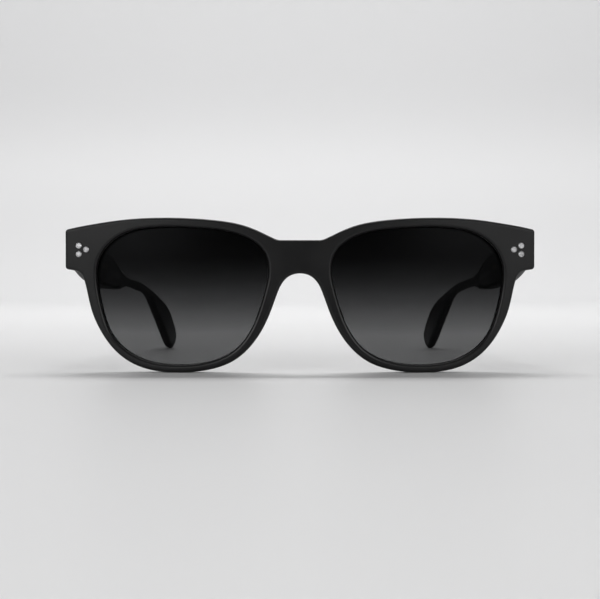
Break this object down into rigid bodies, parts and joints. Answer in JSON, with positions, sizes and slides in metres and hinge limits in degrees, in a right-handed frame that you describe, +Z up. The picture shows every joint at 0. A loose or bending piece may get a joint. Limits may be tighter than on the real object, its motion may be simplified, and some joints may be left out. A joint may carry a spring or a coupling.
{
  "type": "smart glasses",
  "caption": "Thick-framed smart glasses with graduated grey lenses and folding temples that hold a battery, a loudspeaker, a circuit board and press controls.",
  "frame": {"origin": "bottom centre of the whole object's box: on the table, midway between the outer sides and midway between the front and the ear tips", "axes": "+Z up as worn and as stood on a table, -Y the way the wearer faces, +X towards the wearer's left"},
  "size_m": [0.1434, 0.1498, 0.047],
  "materials": {
    "front_plastic": "fine matt, black",
    "lens_tint": "graduated grey tint, polished",
    "rivet_steel": "satin",
    "hinge_steel": "satin",
    "screw_steel": "satin",
    "pad_plastic": "satin, black",
    "temple_plastic": "fine matt, black",
    "tip_plastic": "fine matt, black",
    "cover_plastic": "fine matt, black",
    "wire_steel": "drawn",
    "board_laminate": "solder mask",
    "chip_plastic": "moulded",
    "battery_foil": "foil pouch",
    "speaker_can": "pressed can",
    "grille_metal": "etched, light grey",
    "microphone_can": "pressed can",
    "contact_gold": "gold plated",
    "light_pipe": "milky",
    "switch_plastic": "moulded",
    "button_plastic": "satin, black"
  },
  "bodies": {
    "front": {"front_frame": "front_plastic", "lens_right": "lens_tint", "lens_left": "lens_tint", "rivet_set_right": "rivet_steel", "rivet_set_left": "rivet_steel", "hinge_plate_right": "hinge_steel", "hinge_plate_left": "hinge_steel", "hinge_screw_right": "screw_steel", "hinge_screw_left": "screw_steel", "nose_pad_right": "pad_plastic", "nose_pad_left": "pad_plastic"},
    "temple_right": {"battery_right": "battery_foil", "button_switch_right": "switch_plastic", "charging_contacts_right": "contact_gold", "chips_right": "chip_plastic", "circuit_board_right": "board_laminate", "core_wire_right": "wire_steel", "hinge_leaf_right": "hinge_steel", "leaf_screws_right": "screw_steel", "microphone_right": "microphone_can", "rocker_switches_right": "switch_plastic", "speaker_grille_right": "grille_metal", "speaker_right": "speaker_can", "status_light_right": "light_pipe", "temple_cover_right": "cover_plastic", "temple_shell_right": "temple_plastic", "temple_tip_right": "tip_plastic"},
    "temple_left": {"battery_left": "battery_foil", "button_switch_left": "switch_plastic", "charging_contacts_left": "contact_gold", "chips_left": "chip_plastic", "circuit_board_left": "board_laminate", "core_wire_left": "wire_steel", "hinge_leaf_left": "hinge_steel", "leaf_screws_left": "screw_steel", "microphone_left": "microphone_can", "speaker_grille_left": "grille_metal", "speaker_left": "speaker_can", "status_light_left": "light_pipe", "temple_cover_left": "cover_plastic", "temple_shell_left": "temple_plastic", "temple_tip_left": "tip_plastic"},
    "action_button": {"action_button_right": "button_plastic"},
    "volume_rocker": {"volume_rocker_right": "button_plastic"},
    "power_button": {"power_button_left": "button_plastic"}
  },
  "joints": [
    {"name": "temple_fold_right", "type": "hinge", "parent": "front", "child": "temple_right", "pos_m": [-0.0642, -0.06195, 0.036], "axis": [0, 0, -1], "range_deg": [0, 86]},
    {"name": "temple_fold_left", "type": "hinge", "parent": "front", "child": "temple_left", "pos_m": [0.0642, -0.06195, 0.036], "axis": [0, 0, 1], "range_deg": [0, 78.5]},
    {"name": "action_press", "type": "slide", "parent": "temple_right", "child": "action_button", "axis": [0, 0, -1], "range_m": [0, 0.0003], "stiffness_N_per_m": 2000},
    {"name": "power_press", "type": "slide", "parent": "temple_left", "child": "power_button", "axis": [0, 0, -1], "range_m": [0, 0.0003], "stiffness_N_per_m": 2000},
    {"name": "volume_tilt", "type": "hinge", "parent": "temple_right", "child": "volume_rocker", "pos_m": [-0.06603, -0.03773, 0.02685], "axis": [0.999, -0.0436, 0], "range_deg": [-3, 3], "stiffness_Nm_per_rad": 0.08}
  ]
}
